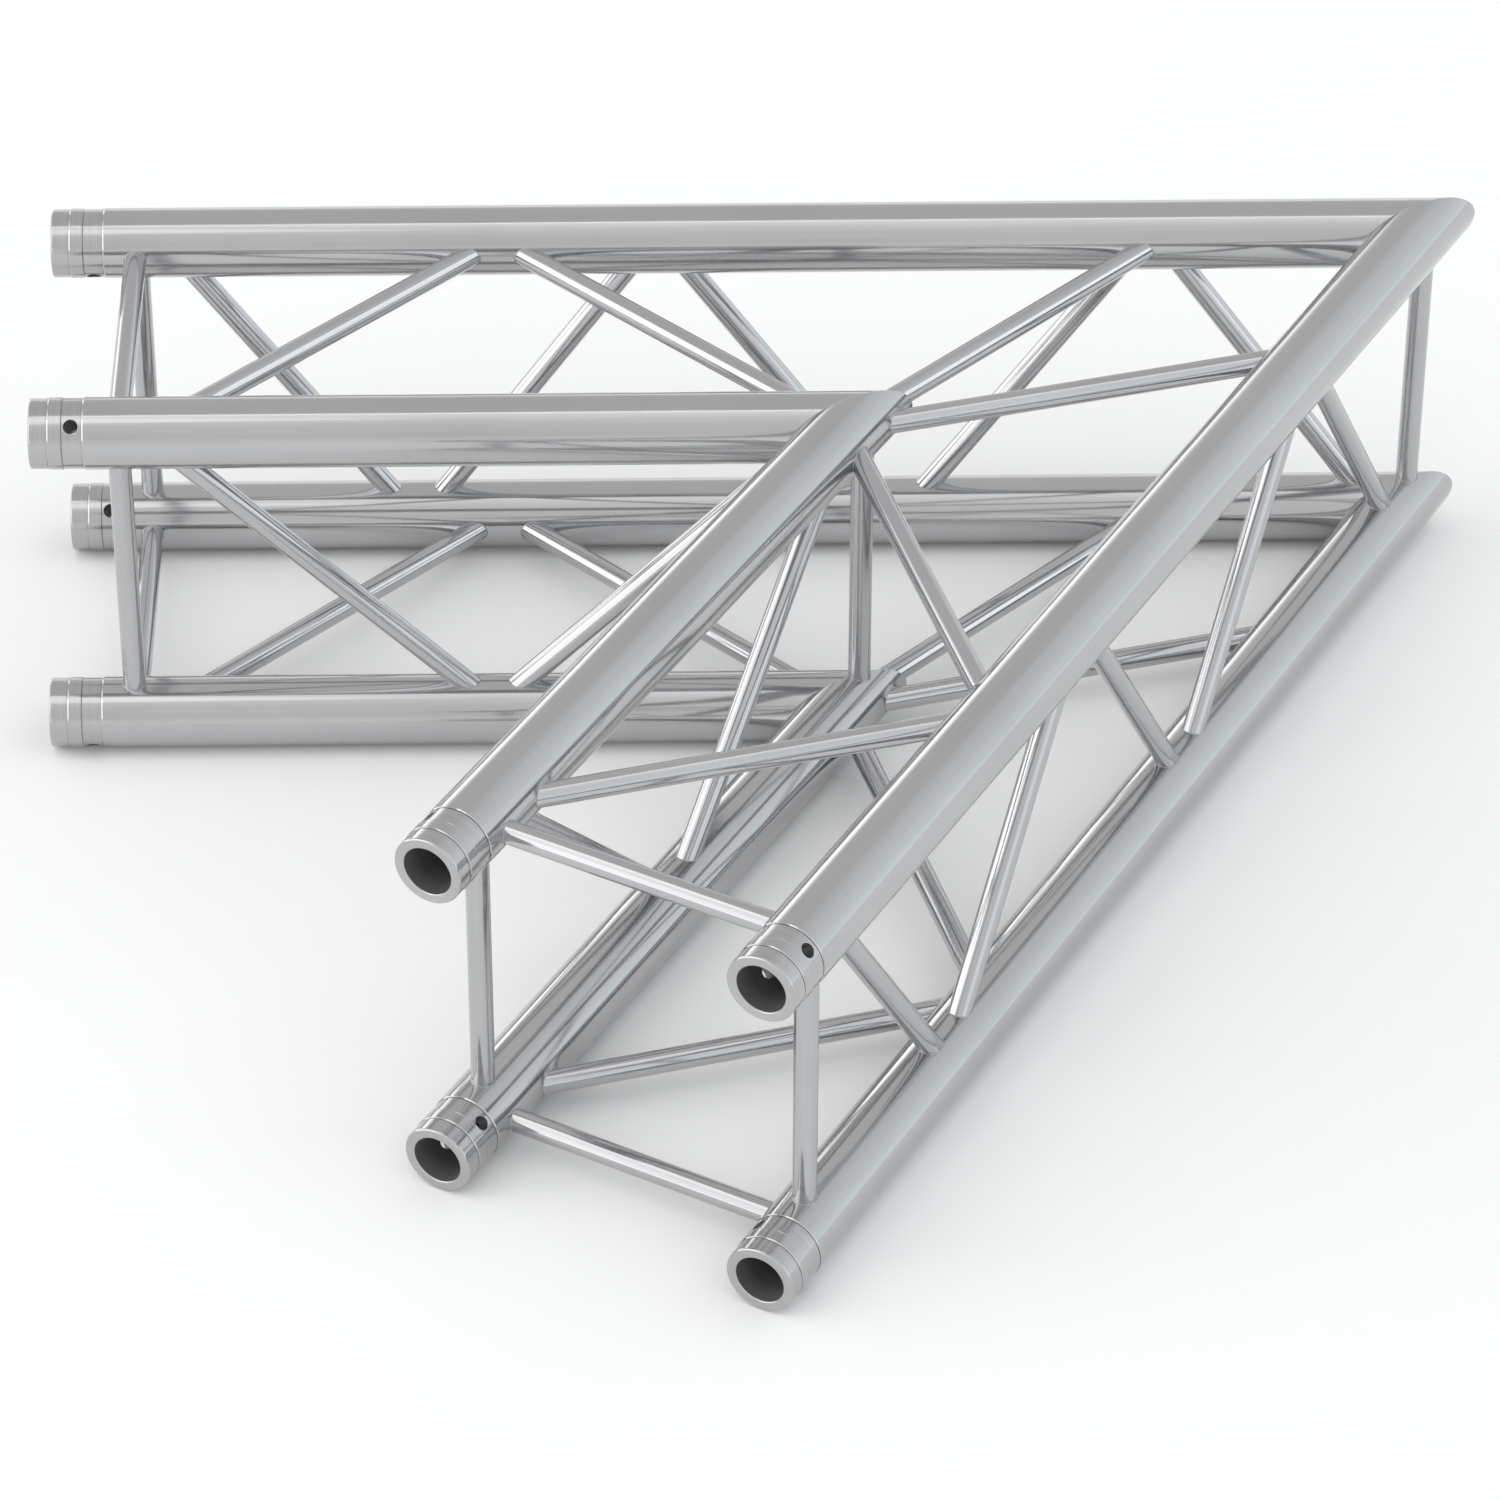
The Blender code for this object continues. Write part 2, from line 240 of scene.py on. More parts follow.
def chord_piece(chord, finish):
    """Chord tube from its chamfered shoulder to its mitre, open at both ends."""
    matrix = frame_on(chord.end, chord.axis)
    shoulder = RECEIVER_LENGTH + SHOULDER_PLAY
    radius = chord.radius
    bore = radius - CHORD_WALL
    rings = [circle(radius - CHORD_EDGE, CHORD_SIDES, shoulder),
             circle(radius, CHORD_SIDES, shoulder + SLOPE),
             circle(radius, CHORD_SIDES, shoulder + SLOPE + HOLD)]
    flat = circle(radius, CHORD_SIDES)
    for inset in (MITRE_EDGE + HOLD, MITRE_EDGE):
        rings.append(circle(radius, CHORD_SIDES, mitre_height(flat, matrix, inset)))
    for share in (0.5, 1.0):
        sunk = circle(radius - MITRE_SINK * share ** 2, CHORD_SIDES)
        height = mitre_height(sunk, matrix, MITRE_EDGE * (1 - share))
        rings.append(np.column_stack([sunk[:, :2], height]))
    inner = circle(bore, CHORD_SIDES)
    rings.append(np.column_stack([inner[:, :2], mitre_height(inner, matrix)]))
    rings.append(np.column_stack([inner[:, :2], mitre_height(inner, matrix, HOLD)]))
    rings.append(circle(bore, CHORD_SIDES, shoulder + HOLD))
    rings.append(circle(bore, CHORD_SIDES, shoulder))
    name = chord.name + "_chord_tube"
    mesh = mesh_from(skin(rings, closed=True), name)
    place(name, mesh, matrix, (finish,), "chord_tube", chord.name + "_chord")


# ------------------------------------------------------------------ receivers

def arc(centre, radius, first, last, steps):
    """Points of an arc in the (radius, height) plane; angles in degrees."""
    turns = [math.radians(first + (last - first) * k / steps) for k in range(steps + 1)]
    return [(centre[0] + radius * math.cos(t), centre[1] + radius * math.sin(t)) for t in turns]


def gap(body, start):
    """Narrow gap that ends at a height where the next part of the outline starts."""
    return [(body, start - GAP_WIDTH - BAND), (body, start - GAP_WIDTH),
            (body - GAP_DEPTH, start - GAP_WIDTH), (body - GAP_DEPTH, start)]


def receiver_outline(radius):
    """Turned outline from the mouth round the outside to the socket's floor."""
    body = radius - BODY_RELIEF
    collar = radius - COLLAR_RELIEF
    collar_foot = COLLAR_END - COLLAR_STEP
    cone = (MOUTH_RADIUS - SOCKET_FLOOR_RADIUS) / SOCKET_DEPTH
    lead = MOUTH_RADIUS - cone * LEAD_START

    return [
        *arc((MOUTH_RADIUS + MOUTH_ROUND, MOUTH_ROUND), MOUTH_ROUND, 180, 270, 6),
        (MOUTH_RADIUS + MOUTH_ROUND + SHORT_BAND, 0),
        (body - END_ROUND - SHORT_BAND, 0),
        *arc((body - END_ROUND, END_ROUND), END_ROUND, -90, 0, 8),
        (body, END_ROUND + BAND),
        *gap(body, COLLAR_START),
        (body, COLLAR_START),
        (collar, COLLAR_START + SLOPE),
        (collar, COLLAR_START + SLOPE + SHORT_BAND),
        (collar, collar_foot - SHORT_BAND),
        (collar, collar_foot),
        (collar - 0.15 * MM, collar_foot + 0.12 * MM),
        (body - LINE_DEPTH, COLLAR_END - 0.1 * MM),
        (body, COLLAR_END + 0.4 * MM),
        (body, COLLAR_END + 0.9 * MM),
        *gap(body, RECEIVER_LENGTH),
        (SPIGOT_RADIUS, RECEIVER_LENGTH),
        (SPIGOT_RADIUS, SPIGOT_END - BAND),
        (SPIGOT_RADIUS - BAND, SPIGOT_END),
        (REAR_BORE_RADIUS + SHORT_BAND, SPIGOT_END),
        (REAR_BORE_RADIUS, SPIGOT_END - SHORT_BAND),
        (REAR_BORE_RADIUS, SOCKET_DEPTH + SHORT_BAND),
        (REAR_BORE_RADIUS + SHORT_BAND, SOCKET_DEPTH),
        (SOCKET_FLOOR_RADIUS - BAND, SOCKET_DEPTH),
        (SOCKET_FLOOR_RADIUS, SOCKET_DEPTH - BAND),
        (lead, LEAD_END),
    ]


def pin_cutter(chord, matrix, direction):
    """Tube-shaped cutter for the pin hole, whose flared ends follow the receiver's round body."""
    body = chord.radius - BODY_RELIEF
    centre = chord.point(PIN_OFFSET)
    local = frame_on(centre, direction)
    chord_axis = (local.inverted().to_3x3() @ Vector(chord.axis)).normalized()
    turns = np.arange(PIN_SIDES) * (2 * math.pi / PIN_SIDES)
    sideways = np.array([-chord_axis.y, chord_axis.x])
    ways = np.stack([np.cos(turns), np.sin(turns)], axis=1)

    def ring(radius, lift, sign):
        off = (ways * radius) @ sideways
        height = sign * (np.sqrt(body ** 2 - off ** 2) + lift)
        return np.column_stack([ways * radius, height])

    bend = PIN_EDGE * PIN_EDGE_MIDDLE
    steps = [(PIN_RADIUS + PIN_EDGE + PIN_FLARE, PIN_FLARE), (PIN_RADIUS + PIN_EDGE, 0.0),
             (PIN_RADIUS + bend, -bend), (PIN_RADIUS, -PIN_EDGE)]
    rings = [ring(r, lift, 1) for r, lift in steps]
    rings += [ring(r, lift, -1) for r, lift in reversed(steps)]
    shape = skin(rings, caps=((0, 0, body + CUTTER_REACH), (0, 0, -body - CUTTER_REACH)))
    mesh = bpy.data.meshes.new("pin_cutter")
    shape.to_mesh(mesh)
    shape.free()
    mesh.transform(matrix.inverted() @ local)
    return mesh


def square_middle(chord):
    """Middle of the arm's square section, level with the chord's end face."""
    own = [c for c in chords if c.side == chord.side]
    return sum(c.end + c.axis * ((chord.end - c.end) @ c.axis) for c in own) / len(own)


def cut_pin_hole(mesh, chord, matrix):
    """Cuts the pin hole through both walls and gives the round walls their true normals."""
    direction = chord.end - square_middle(chord)
    cutter = bpy.data.objects.new("pin_cutter", pin_cutter(chord, matrix, Vector(direction)))
    host = bpy.data.objects.new("pin_host", mesh)
    for thing in (cutter, host):
        bpy.context.scene.collection.objects.link(thing)
    hole = host.modifiers.new("pin_hole", "BOOLEAN")
    hole.operation, hole.solver, hole.object = "DIFFERENCE", "EXACT", cutter
    graph = bpy.context.evaluated_depsgraph_get()
    cut = bpy.data.meshes.new_from_object(host.evaluated_get(graph))
    spare = cutter.data
    bpy.data.objects.remove(host)
    bpy.data.objects.remove(cutter)
    bpy.data.meshes.remove(spare)
    bpy.data.meshes.remove(mesh)
    clean_cut(cut)
    cut.shade_smooth()
    cut.set_sharp_from_angle(angle=math.radians(SHARP_DEGREES))
    true_round_normals(cut, [chord.radius - BODY_RELIEF, chord.radius - COLLAR_RELIEF])
    return cut


def clean_cut(mesh):
    """Removes the faces without area that the cut leaves."""
    shape = bmesh.new()
    shape.from_mesh(mesh)
    many_sided = [f for f in shape.faces if len(f.verts) > 4]
    bmesh.ops.triangulate(shape, faces=many_sided, quad_method="BEAUTY", ngon_method="BEAUTY")
    bmesh.ops.dissolve_degenerate(shape, dist=CLEAN_DISTANCE, edges=shape.edges)
    shape.to_mesh(mesh)
    shape.free()


def true_round_normals(mesh, radii):
    """Sets radial normals on faces that lie on a cylinder of one of the radii."""
    co = np.array([v.co for v in mesh.vertices], float)
    reach = np.hypot(co[:, 0], co[:, 1])
    normals = [Vector(c.vector) for c in mesh.corner_normals]
    for face in mesh.polygons:
        own = reach[list(face.vertices)]
        round_wall = any(np.abs(own - r).max() < ON_RADIUS for r in radii)
        if round_wall and abs(face.normal.z) < UPRIGHT:
            for loop, vertex in zip(face.loop_indices, face.vertices):
                x, y = co[vertex, 0], co[vertex, 1]
                outward = Vector((x, y, 0)).normalized()
                normals[loop] = outward if face.normal.dot(outward) > 0 else -outward
    mesh.normals_split_custom_set(normals)


def mark_inside(mesh, radius):
    """Gives the faces of the socket, the rear bore and the pin hole the second material, which
    paints shade into these hollows.
    """
    inner = MOUTH_RADIUS + 0.02 * MM
    outer = radius - BODY_RELIEF - PIN_EDGE * 1.2
    for face in mesh.polygons:
        reach = math.hypot(face.center.x, face.center.y)
        in_bore = reach < inner and face.center.z > 0.6 * MOUTH_ROUND
        in_pin = inner <= reach < outer and abs(face.center.z - PIN_OFFSET) < PIN_RADIUS
        face.material_index = 1 if in_bore or in_pin else 0


def receiver_piece(chord, finishes):
    """Turned receiver with its pin hole; the second material paints shade on the inside."""
    matrix = frame_on(chord.end, chord.axis)
    name = chord.name + "_receiver_body"
    rings = [circle(r, RECEIVER_SIDES, z) for r, z in receiver_outline(chord.radius)]
    mesh = mesh_from(skin(rings, closed=True), name)
    mesh = cut_pin_hole(mesh, chord, matrix)
    mesh.name = name
    mark_inside(mesh, chord.radius)
    place(name, mesh, matrix, finishes, "receiver", chord.name + "_receiver")


# ------------------------------------------------------------------ braces and welds

def first_hit(starts, direction, lift):
    """Distance along each line to the chords' surfaces raised by lift; lines start outside."""
    best = np.full(len(starts), np.inf)
    for c in chords:
        across = direction - c.axis * (direction @ c.axis)
        a = across @ across
        if a < 1e-9:
            continue
        offset = starts - c.end
        offset = offset - np.outer(offset @ c.axis, c.axis)
        b = offset @ across
        d = b * b - a * (np.einsum("ij,ij->i", offset, offset) - (c.radius + lift) ** 2)
        reach = np.where(d > 0, (-b - np.sqrt(np.maximum(d, 0))) / a, np.inf)
        hit_x = starts[:, 0] + np.where(np.isfinite(reach), reach, 0) * direction[0]
        fits = (d > 0) & (reach > 0) & (hit_x * c.sign >= -1e-7)
        best = np.where(fits & (reach < best), reach, best)
    return best


def ring_on(matrix, radius, sides, way, lift):
    """Local points of a ring round a brace where its surface meets the chords."""
    flat = circle(radius, sides)
    world = np.array(matrix)
    starts = flat @ world[:3, :3].T + world[:3, 3]
    reach = first_hit(starts, world[:3, 2] * way, lift)
    return np.column_stack([flat[:, :2], reach * way])


def brace_names():
    """Nodes that are neither chords nor receivers."""
    taken = {c.name + end for c in chords for end in ("_chord", "_receiver")}
    return sorted(set(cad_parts) - taken)


def brace_piece(node, finish):
    """Brace coped to the chords at both ends; gives its matrix and radius for the welds."""
    middle, axis, radius = straight_tube(node)
    if axis[2] < -1e-6 or (abs(axis[2]) <= 1e-6 and axis[1] < 0):
        axis = -axis
    matrix = frame_on(middle, axis)
    rings, tips = [], []
    for way in (-1, 1):
        cope = ring_on(matrix, radius, BRACE_SIDES, way, -SINK)
        hold = cope - np.array([0, 0, way * (WELD_LEG + HOLD)])
        rings += [cope, hold] if way < 0 else [hold, cope]
        tips.append((0, 0, cope[:, 2].mean() + way * TIP_DEPTH))
    name = node + "_tube"
    mesh = mesh_from(skin(rings, caps=tips), name)
    place(name, mesh, matrix, (finish,), "brace_tube", node)
    return matrix, radius


def weld_shape(matrix, radius, way):
    """Closed ring of weld metal between a brace's wall and the chords it stands on."""
    rings = []
    for step in range(WELD_STEPS + 1):
        share = step / WELD_STEPS
        swell = WELD_CROWN * math.sin(math.pi * share)
        out = WELD_LEG * share + swell
        lift = WELD_LEG * (1 - share) + swell
        rings.append(ring_on(matrix, radius + out, WELD_SIDES, way, lift))
    for foot in (radius + WELD_FOOT * WELD_LEG, radius - WELD_SINK):
        rings.append(ring_on(matrix, foot, WELD_SIDES, way, -WELD_SINK))
    return skin(rings, closed=True)


def weld_piece(node, matrix, radius, finish):
    """The welds at both ends of a brace, as one piece."""
    joined = bmesh.new()
    for way in (-1, 1):
        part = bpy.data.meshes.new("weld_part")
        shape = weld_shape(matrix, radius, way)
        shape.to_mesh(part)
        shape.free()
        joined.from_mesh(part)
        bpy.data.meshes.remove(part)
    name = node + "_welds"
    place(name, mesh_from(joined, name, WELD_SHARP_DEGREES), matrix, (finish,), "brace_tube")


# ------------------------------------------------------------------ materials

TONE_LOW, TONE_HIGH = 0.36, 0.64    # noise values that give the darker and the lighter colour
NOISE_LOW, NOISE_HIGH = 0.3, 0.7    # usual ends of a noise value


class Nodes:
    """Small helper that adds and wires shader nodes."""

    def __init__(self, tree):
        self.tree = tree

    def add(self, kind, **settings):
        node = self.tree.nodes.new(kind)
        for key, value in settings.items():
            setattr(node, key, value)
        return node

    def wire(self, source, target):
        self.tree.links.new(source, target)

    def maths(self, operation, first, second=None, clamp=False):
        """Result of a math node; each operand is a number or an output."""
        node = self.add("ShaderNodeMath", operation=operation, use_clamp=clamp)
        for socket, value in zip(node.inputs, (first, second)):
            if value is None:
                continue
            if isinstance(value, (int, float)):
                socket.default_value = value
            else:
                self.wire(value, socket)
        return node.outputs[0]

    def noise(self, vector, scales, scale=1.0, detail=3.0, rough=0.5):
        """Noise on coordinates stretched by scales."""
        mapping = self.add("ShaderNodeMapping")
        mapping.inputs["Scale"].default_value = scales
        self.wire(vector, mapping.inputs["Vector"])
        noise = self.add("ShaderNodeTexNoise")
        noise.inputs["Scale"].default_value = scale
        noise.inputs["Detail"].default_value = detail
        noise.inputs["Roughness"].default_value = rough
        self.wire(mapping.outputs["Vector"], noise.inputs["Vector"])
        return noise.outputs["Fac"]

    def range(self, value, low, high, to_low, to_high, kind="LINEAR"):
        """A value moved from one range to another."""
        node = self.add("ShaderNodeMapRange", interpolation_type=kind)
        self.wire(value, node.inputs["Value"])
        for key, number in (("From Min", low), ("From Max", high),
                            ("To Min", to_low), ("To Max", to_high)):
            node.inputs[key].default_value = number
        return node.outputs["Result"]

    def spread(self, noise, to_low, to_high):
        """A noise value spread between two values."""
        return self.range(noise, NOISE_LOW, NOISE_HIGH, to_low, to_high)

    def mix(self, factor, first, second):
        """Mix of two colours, each a tuple or an output."""
        node = self.add("ShaderNodeMix", data_type="RGBA")
        self.wire(factor, node.inputs["Factor"])
        for key, value in (("A", first), ("B", second)):
            socket = [s for s in node.inputs if s.name == key and s.type == "RGBA"][0]
            if isinstance(value, tuple):
                socket.default_value = (*value, 1)
            else:
                self.wire(value, socket)
        return [s for s in node.outputs if s.type == "RGBA"][0]

    def bump(self, height, strength, distance, normal=None):
        node = self.add("ShaderNodeBump")
        node.inputs["Strength"].default_value = strength
        node.inputs["Distance"].default_value = distance
        self.wire(height, node.inputs["Height"])
        if normal is not None:
            self.wire(normal, node.inputs["Normal"])
        return node.outputs["Normal"]


def metal(name, metallic=1.0):
    """Bare metal with its node helper, its own coordinates and its shader."""
    material = bpy.data.materials.new(name)
    material.use_nodes = True
    tree = material.node_tree
    tree.nodes.clear()
    nodes = Nodes(tree)
    out = nodes.add("ShaderNodeOutputMaterial")
    shader = nodes.add("ShaderNodeBsdfPrincipled")
    shader.inputs["Metallic"].default_value = metallic
    nodes.wire(shader.outputs["BSDF"], out.inputs["Surface"])
    place_of = nodes.add("ShaderNodeAttribute", attribute_name=OWN_AXES).outputs["Vector"]
    return material, nodes, place_of, shader


def drawn_tube(name, dark, light, roughness, line_scale):
    """Drawn aluminium tube: fine lines along local Z, cloudy handling marks and light scuffs."""
    material, nodes, place_of, shader = metal(name)
    coarse = nodes.noise(place_of, (line_scale, line_scale, 4.0), detail=4.0, rough=0.62)
    fine = nodes.noise(place_of, (line_scale * 5, line_scale * 5, 14.0), detail=2.0, rough=0.7)
    cloud = nodes.noise(place_of, (9.0, 9.0, 5.0), detail=3.0, rough=0.55)
    grain = nodes.noise(place_of, (900.0, 900.0, 260.0), detail=2.0, rough=0.6)
    scuff = nodes.noise(place_of, (120.0, 120.0, 30.0), detail=5.0, rough=0.75)
    scuffs = nodes.range(scuff, 0.6, 0.74, 0.0, 1.0, "SMOOTHSTEP")
    lines = nodes.maths("ADD", nodes.maths("MULTIPLY", coarse, 0.65),
                        nodes.maths("MULTIPLY", fine, 0.35))
    tone = nodes.maths("ADD", nodes.maths("MULTIPLY", cloud, 0.5),
                       nodes.maths("MULTIPLY", lines, 0.5))
    colour = nodes.mix(nodes.range(tone, TONE_LOW, TONE_HIGH, 0.0, 1.0), dark, light)
    nodes.wire(colour, shader.inputs["Base Color"])
    rough = nodes.spread(lines, roughness - 0.035, roughness + 0.035)
    rough = nodes.maths("ADD", rough, nodes.spread(cloud, -0.025, 0.03))
    rough = nodes.maths("ADD", rough, nodes.maths("MULTIPLY", scuffs, 0.07))
    nodes.wire(rough, shader.inputs["Roughness"])
    normal = nodes.bump(lines, 0.1, 0.06 * MM)
    normal = nodes.bump(grain, 0.05, 0.02 * MM, normal)
    nodes.wire(normal, shader.inputs["Normal"])
    return material


def turned_metal(name, dark, light, roughness, depth, metallic=1.0):
    """Turned aluminium: fine rings round local Z from the lathe tool."""
    material, nodes, place_of, shader = metal(name, metallic)
    rings = nodes.noise(place_of, (10.0, 10.0, 2600.0), detail=3.0, rough=0.65)
    bands = nodes.noise(place_of, (8.0, 8.0, 420.0), detail=2.0, rough=0.5)
    cloud = nodes.noise(place_of, (60.0, 60.0, 60.0), detail=4.0, rough=0.6)
    tone = nodes.maths("ADD", nodes.maths("MULTIPLY", rings, 0.4),
                       nodes.maths("MULTIPLY", bands, 0.6))
    colour = nodes.mix(nodes.range(tone, TONE_LOW, TONE_HIGH, 0.0, 1.0), dark, light)
    nodes.wire(colour, shader.inputs["Base Color"])
    rough = nodes.spread(rings, roughness - 0.05, roughness + 0.06)
    rough = nodes.maths("ADD", rough, nodes.spread(cloud, -0.03, 0.04))
    nodes.wire(rough, shader.inputs["Roughness"])
    normal = nodes.bump(rings, 0.1 * depth, 0.05 * MM)
    normal = nodes.bump(bands, 0.03 * depth, 0.05 * MM, normal)
    nodes.wire(normal, shader.inputs["Normal"])
    return material


def weld_metal(name, dark, light, roughness):
    """Weld metal: ripples across the bead, slightly frosted."""
    material, nodes, place_of, shader = metal(name)
    parts = nodes.add("ShaderNodeSeparateXYZ")
    nodes.wire(place_of, parts.inputs["Vector"])
    turn = nodes.maths("ARCTAN2", parts.outputs["Y"], parts.outputs["X"])
    drift = nodes.noise(place_of, (220.0, 220.0, 220.0), detail=3.0, rough=0.6)
    phase = nodes.maths("ADD", nodes.maths("MULTIPLY", turn, 46.0),
                        nodes.maths("MULTIPLY", drift, 5.0))
    ripple = nodes.maths("SINE", phase)
    frost = nodes.noise(place_of, (1500.0, 1500.0, 1500.0), detail=2.0, rough=0.6)
    colour = nodes.mix(nodes.range(drift, 0.35, 0.65, 0.0, 1.0), dark, light)
    nodes.wire(colour, shader.inputs["Base Color"])
    rough = nodes.spread(drift, roughness - 0.05, roughness + 0.05)
    rough = nodes.maths("ADD", rough, nodes.spread(frost, -0.03, 0.03))
    nodes.wire(rough, shader.inputs["Roughness"])
    normal = nodes.bump(ripple, 0.35, 0.06 * MM)
    normal = nodes.bump(frost, 0.1, 0.03 * MM, normal)
    nodes.wire(normal, shader.inputs["Normal"])
    return material


# ------------------------------------------------------------------ the object

chord_metal = drawn_tube(
    "chord_finish", (0.47, 0.472, 0.478), (0.52, 0.522, 0.528), roughness=0.13, line_scale=420.0)
brace_metal = drawn_tube(
    "brace_finish", (0.46, 0.463, 0.472), (0.51, 0.513, 0.522), roughness=0.12, line_scale=700.0)
receiver_metal = turned_metal(
    "receiver_finish", (0.45, 0.45, 0.455), (0.49, 0.49, 0.494), roughness=0.14, depth=0.6)
# Inside of the socket, rear bore and pin holes: the same turned aluminium, coloured much darker as
# painted shade in these hollows
painted_shade_socket_metal = turned_metal(
    "socket_finish", (0.14, 0.138, 0.142), (0.18, 0.178, 0.182), roughness=0.5, depth=1.0,
    metallic=0.45)
bead_metal = weld_metal(
    "weld_finish", (0.32, 0.32, 0.325), (0.38, 0.38, 0.385), roughness=0.34)

for chord in chords:
    chord_piece(chord, chord_metal)
    receiver_piece(chord, (receiver_metal, painted_shade_socket_metal))
for node_name in brace_names():
    brace_matrix, brace_radius = brace_piece(node_name, brace_metal)
    weld_piece(node_name, brace_matrix, brace_radius, bead_metal)


# ------------------------------------------------------------------ floor, light and camera

FLOOR_HALF = 14.0
FLOOR_DROP = 0.0004
FLOOR_DARK, FLOOR_LIGHT = (0.91, 0.91, 0.91), (0.93, 0.93, 0.93)


def floor_piece():
    """Wide pale floor under the object."""
    shape = bmesh.new()
    for x, y in ((-1, -1), (1, -1), (1, 1), (-1, 1)):
        shape.verts.new((x * FLOOR_HALF, y * FLOOR_HALF, 0))
    shape.faces.new(shape.verts)
    mesh = bpy.data.meshes.new("floor")
    shape.to_mesh(mesh)
    shape.free()
    material = bpy.data.materials.new("floor_paint")
    material.use_nodes = True
    nodes = Nodes(material.node_tree)
    shader = material.node_tree.nodes["Principled BSDF"]
    place_of = nodes.add("ShaderNodeTexCoord").outputs["Object"]
    cloud = nodes.noise(place_of, (1.5, 1.5, 1.5), detail=4.0)
    colour = nodes.mix(nodes.spread(cloud, 0.0, 1.0), FLOOR_DARK, FLOOR_LIGHT)
    nodes.wire(colour, shader.inputs["Base Color"])
    shader.inputs["Roughness"].default_value = 0.85
    shader.inputs["Specular IOR Level"].default_value = 0.1
    mesh.materials.append(material)
    floor = bpy.data.objects.new("floor", mesh)
    floor.location = (0, 0, cad_low.z - FLOOR_DROP)
    bpy.context.scene.collection.objects.link(floor)


CAMERA_PLACE = Vector((3.16679, -2.01218, 2.84244))
CAMERA_AIM = Vector((0.15064, -0.18640, 0.15064))
CAMERA_ROLL = 0.188             # degrees
CAMERA_LENS = 157.98
SENSOR = 36.0

# Light tent: levels of its parts before TENT_LEVEL scales them all
TENT_LEVEL = 1.12
BASE_LEVEL = 0.645
FADE_BASE, FADE_GAIN, FADE_LENGTH = 0.07, 0.55, 0.45
LEFT_LEVEL = 1.1
STRIP_LEVEL = 0.9
RIGHT_LEVEL, RIGHT_TINT = 0.38, 0.8
EDGE_LEVEL, EDGE_CENTRE, EDGE_WIDTH = 1.4, 0.005, 0.014
E = 2.718
WHITE, COOL = (1.0, 1.0, 1.0), (0.87, 0.955, 1.0)


def add_camera():
    """Camera at the photo's viewing angle."""
    data = bpy.data.cameras.new("camera")
    data.lens, data.sensor_width, data.sensor_fit = CAMERA_LENS, SENSOR, "AUTO"
    data.clip_start, data.clip_end = 0.05, 60.0
    camera = bpy.data.objects.new("camera", data)
    camera.location = CAMERA_PLACE
    aim = (CAMERA_AIM - CAMERA_PLACE).to_track_quat("-Z", "Y")
    roll = Quaternion((0, 0, 1), math.radians(CAMERA_ROLL))
    camera.rotation_euler = (aim @ roll).to_euler()
    bpy.context.scene.collection.objects.link(camera)
    bpy.context.scene.camera = camera


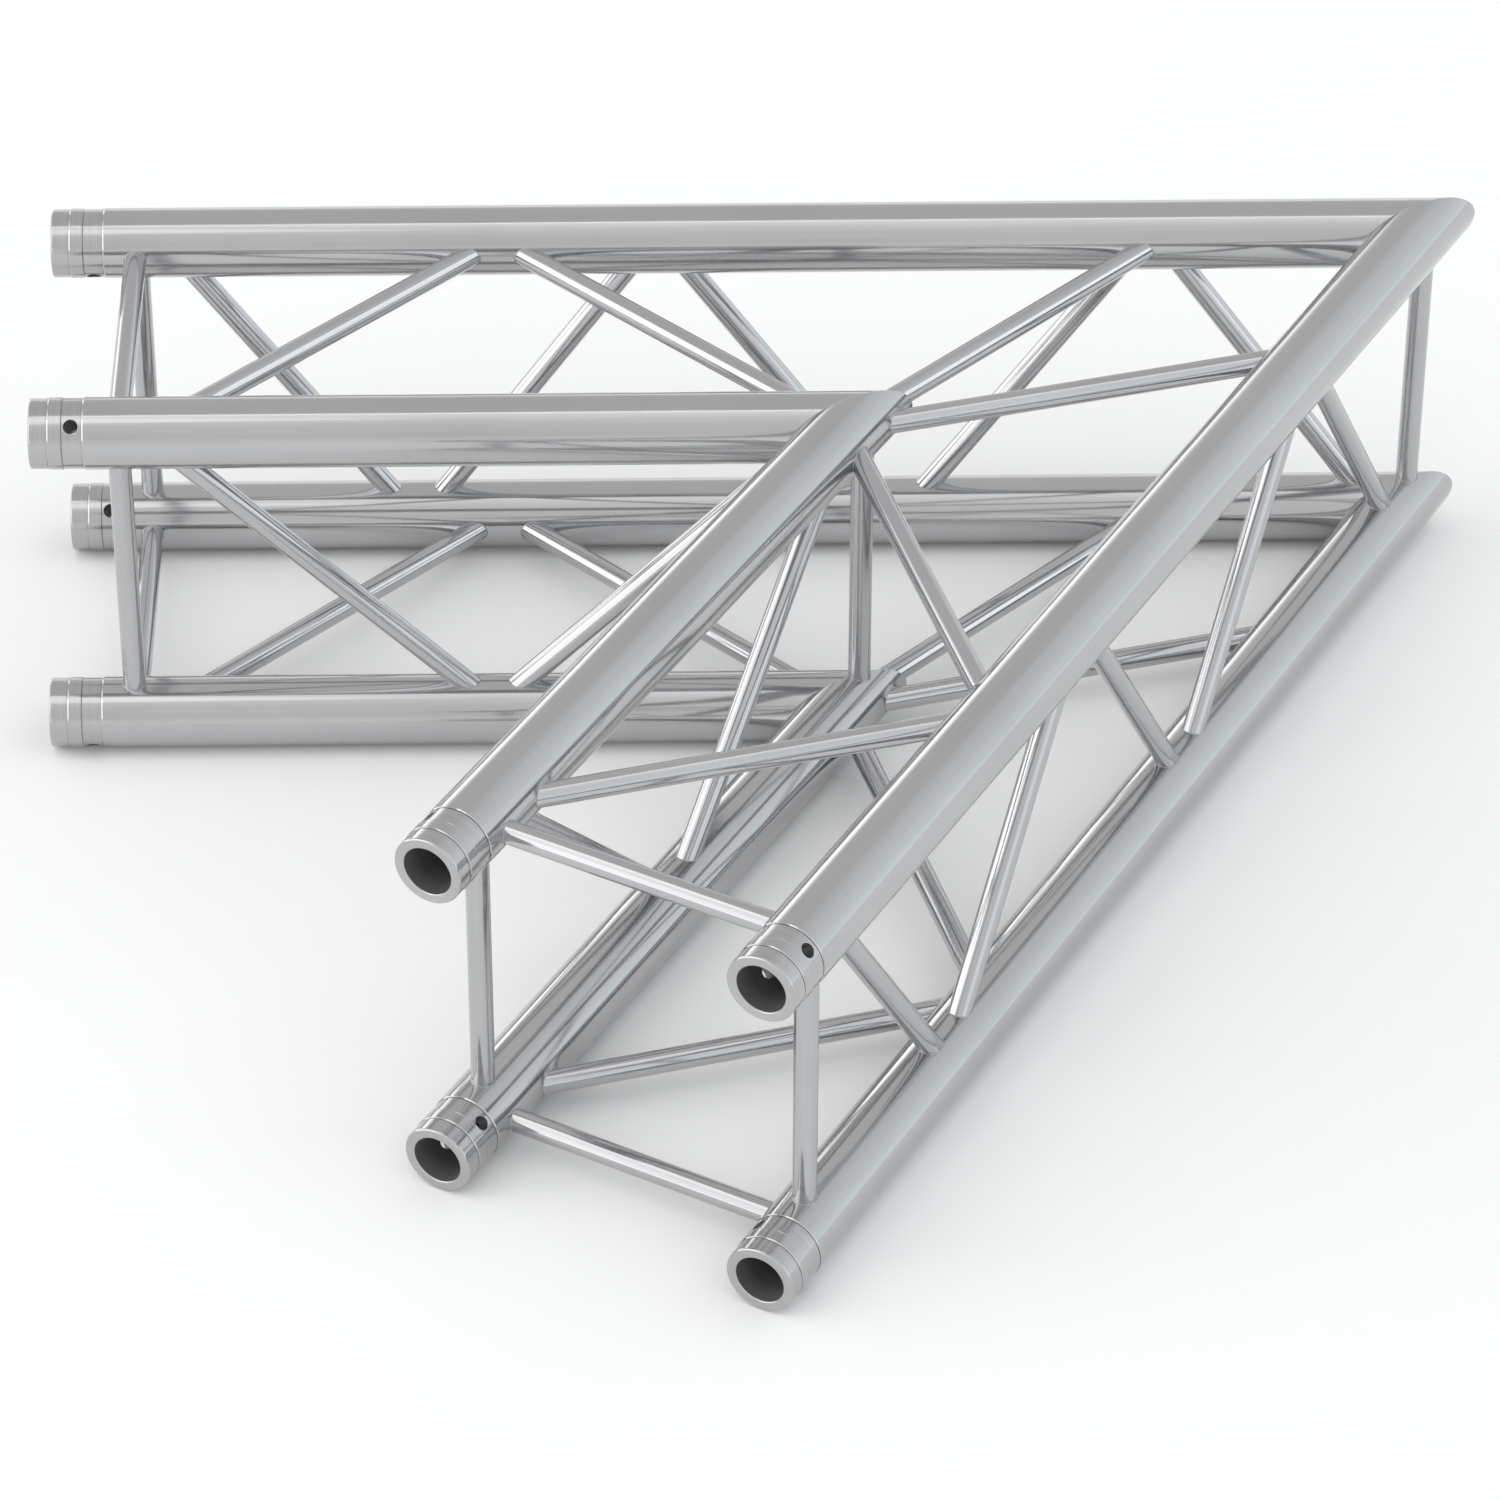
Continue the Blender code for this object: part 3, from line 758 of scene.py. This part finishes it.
def light_tent():
    """Soft surroundings by fixed direction: grey behind, brighter in front, left and right.

    front points from the object towards the camera, side to the camera's right, up is up.
    """
    away = Vector((CAMERA_PLACE.x - CAMERA_AIM.x, CAMERA_PLACE.y - CAMERA_AIM.y, 0)).normalized()
    right = Vector((-away.y, away.x, 0))
    world = bpy.data.worlds.new("light_tent")
    world.use_nodes = True
    world.node_tree.nodes.clear()
    nodes = Nodes(world.node_tree)
    out = nodes.add("ShaderNodeOutputWorld")
    sky = nodes.add("ShaderNodeBackground")
    nodes.wire(sky.outputs["Background"], out.inputs["Surface"])
    ray = nodes.add("ShaderNodeTexCoord").outputs["Generated"]

    def along(direction):
        node = nodes.add("ShaderNodeVectorMath", operation="DOT_PRODUCT")
        nodes.wire(ray, node.inputs[0])
        node.inputs[1].default_value = direction
        return node.outputs["Value"]

    def smooth(value, low, high, to_high=1.0):
        return nodes.range(value, low, high, 0.0, to_high, "SMOOTHSTEP")

    def times(first, second):
        return nodes.maths("MULTIPLY", first, second)

    def plus(first, second):
        return nodes.maths("ADD", first, second)

    front, side, up = along(away), along(right), along(Vector((0, 0, 1)))

    # grey that fades with the angle in front of the object, and a thin bright edge beside it
    ahead = smooth(front, -0.02, 0.0)
    fade = nodes.maths("POWER", E, times(front, -1 / FADE_LENGTH))
    tent = times(ahead, plus(times(fade, FADE_GAIN), FADE_BASE))
    edge = nodes.maths("DIVIDE", plus(front, EDGE_CENTRE), EDGE_WIDTH)
    edge = nodes.maths("POWER", E, times(nodes.maths("POWER", edge, 2.0), -1.0))

    # low glow all round, stronger behind, with bright areas at the left
    low_glow = smooth(up, 0.34, 0.0)
    glow = times(low_glow, nodes.range(ahead, 0.0, 1.0, 0.5, 0.1))
    left = times(smooth(side, -0.1, -0.28, LEFT_LEVEL), low_glow)
    strip = times(smooth(side, -0.66, -0.82, STRIP_LEVEL), smooth(up, 0.85, 0.6))

    # broad cool light at the right, weaker overhead
    right_low = times(smooth(side, 0.2, 0.6), nodes.range(up, 1.0, 0.2, 0.0, 1.0))
    beside = nodes.maths("MAXIMUM", glow, times(right_low, RIGHT_LEVEL))

    level = plus(plus(tent, BASE_LEVEL), beside)
    level = plus(level, times(edge, EDGE_LEVEL))
    level = plus(level, nodes.maths("MAXIMUM", left, strip))
    tint = nodes.maths("MULTIPLY", right_low, RIGHT_TINT, clamp=True)
    nodes.wire(nodes.mix(tint, WHITE, COOL), sky.inputs["Color"])
    nodes.wire(times(level, TENT_LEVEL), sky.inputs["Strength"])
    bpy.context.scene.world = world


def softbox(name, place_at, aim, size, power):
    """Rectangular lamp turned towards a point."""
    data = bpy.data.lights.new(name, "AREA")
    data.shape, data.size, data.size_y = "RECTANGLE", size[0], size[1]
    data.energy = power
    lamp = bpy.data.objects.new(name, data)
    lamp.location = place_at
    lamp.rotation_euler = (Vector(aim) - Vector(place_at)).to_track_quat("-Z", "Y").to_euler()
    bpy.context.scene.collection.objects.link(lamp)


floor_piece()
add_camera()
light_tent()
softbox("key_softbox", place_at=(0.05, -2.3, 2.6), aim=(0, 0, 0.1), size=(1.6, 3.6), power=8.0)
bpy.context.scene.view_settings.view_transform = "Standard"
